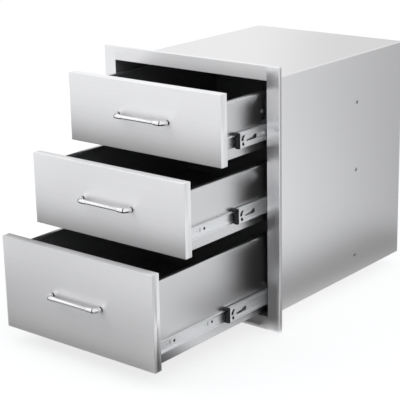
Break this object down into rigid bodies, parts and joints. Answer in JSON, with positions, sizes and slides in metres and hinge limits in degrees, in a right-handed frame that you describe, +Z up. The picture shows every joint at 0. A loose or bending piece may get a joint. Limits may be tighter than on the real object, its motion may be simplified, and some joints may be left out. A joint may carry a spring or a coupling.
{
  "type": "outdoor kitchen drawer unit",
  "caption": "Built-in drawer unit for an outdoor kitchen: flanged steel cabinet, drawers on telescopic ball bearing slides, bow handles.",
  "frame": {"origin": "centre of the cabinet's underside, which is level with the lower edge of the side walls", "axes": "+X to the right seen from the front, +Y from the drawers to the back of the cabinet, +Z up"},
  "size_m": [0.457, 0.8797, 0.55],
  "materials": {
    "brushed_stainless": "fine brushed grain",
    "cabinet_stainless": "plain mill finish",
    "drawer_stainless": "satin, dark inside",
    "polished_chrome": "polished",
    "zinc_rail": "bright zinc plate",
    "cage_steel": "pressed strip with steel balls",
    "black_stop": "moulded black",
    "fastener_steel": "plain"
  },
  "bodies": {
    "cabinet": {"front_frame": "brushed_stainless", "cabinet_wrap": "cabinet_stainless", "cabinet_floor": "cabinet_stainless", "cabinet_back": "cabinet_stainless", "rail_rivets": "fastener_steel", "top_cabinet_rail_left": "zinc_rail", "top_cabinet_rail_right": "zinc_rail", "middle_cabinet_rail_left": "zinc_rail", "middle_cabinet_rail_right": "zinc_rail", "bottom_cabinet_rail_left": "zinc_rail", "bottom_cabinet_rail_right": "zinc_rail"},
    "top_outer_cages": {"top_outer_cage_left": "cage_steel", "top_outer_cage_right": "cage_steel"},
    "top_slide_rails": {"top_extension_rail_left": "zinc_rail", "top_extension_rail_right": "zinc_rail", "top_rail_stop_left": "black_stop", "top_rail_stop_right": "black_stop"},
    "top_inner_cages": {"top_inner_cage_left": "cage_steel", "top_inner_cage_right": "cage_steel"},
    "top_drawer": {"top_drawer_box": "drawer_stainless", "top_drawer_front": "brushed_stainless", "top_handle": "polished_chrome", "top_handle_screws": "fastener_steel", "top_drawer_rail_left": "zinc_rail", "top_drawer_rail_right": "zinc_rail"},
    "middle_outer_cages": {"middle_outer_cage_left": "cage_steel", "middle_outer_cage_right": "cage_steel"},
    "middle_slide_rails": {"middle_extension_rail_left": "zinc_rail", "middle_extension_rail_right": "zinc_rail", "middle_rail_stop_left": "black_stop", "middle_rail_stop_right": "black_stop"},
    "middle_inner_cages": {"middle_inner_cage_left": "cage_steel", "middle_inner_cage_right": "cage_steel"},
    "middle_drawer": {"middle_drawer_box": "drawer_stainless", "middle_drawer_front": "brushed_stainless", "middle_handle": "polished_chrome", "middle_handle_screws": "fastener_steel", "middle_drawer_rail_left": "zinc_rail", "middle_drawer_rail_right": "zinc_rail"},
    "bottom_outer_cages": {"bottom_outer_cage_left": "cage_steel", "bottom_outer_cage_right": "cage_steel"},
    "bottom_slide_rails": {"bottom_extension_rail_left": "zinc_rail", "bottom_extension_rail_right": "zinc_rail", "bottom_rail_stop_left": "black_stop", "bottom_rail_stop_right": "black_stop"},
    "bottom_inner_cages": {"bottom_inner_cage_left": "cage_steel", "bottom_inner_cage_right": "cage_steel"},
    "bottom_drawer": {"bottom_drawer_box": "drawer_stainless", "bottom_drawer_front": "brushed_stainless", "bottom_handle": "polished_chrome", "bottom_handle_screws": "fastener_steel", "bottom_drawer_rail_left": "zinc_rail", "bottom_drawer_rail_right": "zinc_rail"}
  },
  "joints": [
    {"name": "top_rails_extend", "type": "slide", "parent": "cabinet", "child": "top_slide_rails", "axis": [0, -1, 0], "range_m": [-0.123, 0.102]},
    {"name": "top_drawer_slide", "type": "slide", "parent": "top_slide_rails", "child": "top_drawer", "axis": [0, -1, 0], "range_m": [-0.02, 0.205]},
    {"name": "top_outer_cages_roll", "type": "slide", "parent": "cabinet", "child": "top_outer_cages", "axis": [0, -1, 0], "range_m": [-0.0615, 0.051]},
    {"name": "top_inner_cages_roll", "type": "slide", "parent": "top_slide_rails", "child": "top_inner_cages", "axis": [0, -1, 0], "range_m": [-0.01, 0.1025]},
    {"name": "middle_rails_extend", "type": "slide", "parent": "cabinet", "child": "middle_slide_rails", "axis": [0, -1, 0], "range_m": [-0.13, 0.095]},
    {"name": "middle_drawer_slide", "type": "slide", "parent": "middle_slide_rails", "child": "middle_drawer", "axis": [0, -1, 0], "range_m": [-0.125, 0.1]},
    {"name": "middle_outer_cages_roll", "type": "slide", "parent": "cabinet", "child": "middle_outer_cages", "axis": [0, -1, 0], "range_m": [-0.065, 0.0475]},
    {"name": "middle_inner_cages_roll", "type": "slide", "parent": "middle_slide_rails", "child": "middle_inner_cages", "axis": [0, -1, 0], "range_m": [-0.0625, 0.05]},
    {"name": "bottom_rails_extend", "type": "slide", "parent": "cabinet", "child": "bottom_slide_rails", "axis": [0, -1, 0], "range_m": [-0.162, 0.063]},
    {"name": "bottom_drawer_slide", "type": "slide", "parent": "bottom_slide_rails", "child": "bottom_drawer", "axis": [0, -1, 0], "range_m": [-0.189, 0.036]},
    {"name": "bottom_outer_cages_roll", "type": "slide", "parent": "cabinet", "child": "bottom_outer_cages", "axis": [0, -1, 0], "range_m": [-0.081, 0.0315]},
    {"name": "bottom_inner_cages_roll", "type": "slide", "parent": "bottom_slide_rails", "child": "bottom_inner_cages", "axis": [0, -1, 0], "range_m": [-0.0945, 0.018]}
  ],
  "couplings": [
    {"joint": "top_outer_cages_roll", "follows": "top_rails_extend", "ratio": 0.5},
    {"joint": "top_inner_cages_roll", "follows": "top_drawer_slide", "ratio": 0.5},
    {"joint": "middle_outer_cages_roll", "follows": "middle_rails_extend", "ratio": 0.5},
    {"joint": "middle_inner_cages_roll", "follows": "middle_drawer_slide", "ratio": 0.5},
    {"joint": "bottom_outer_cages_roll", "follows": "bottom_rails_extend", "ratio": 0.5},
    {"joint": "bottom_inner_cages_roll", "follows": "bottom_drawer_slide", "ratio": 0.5}
  ]
}
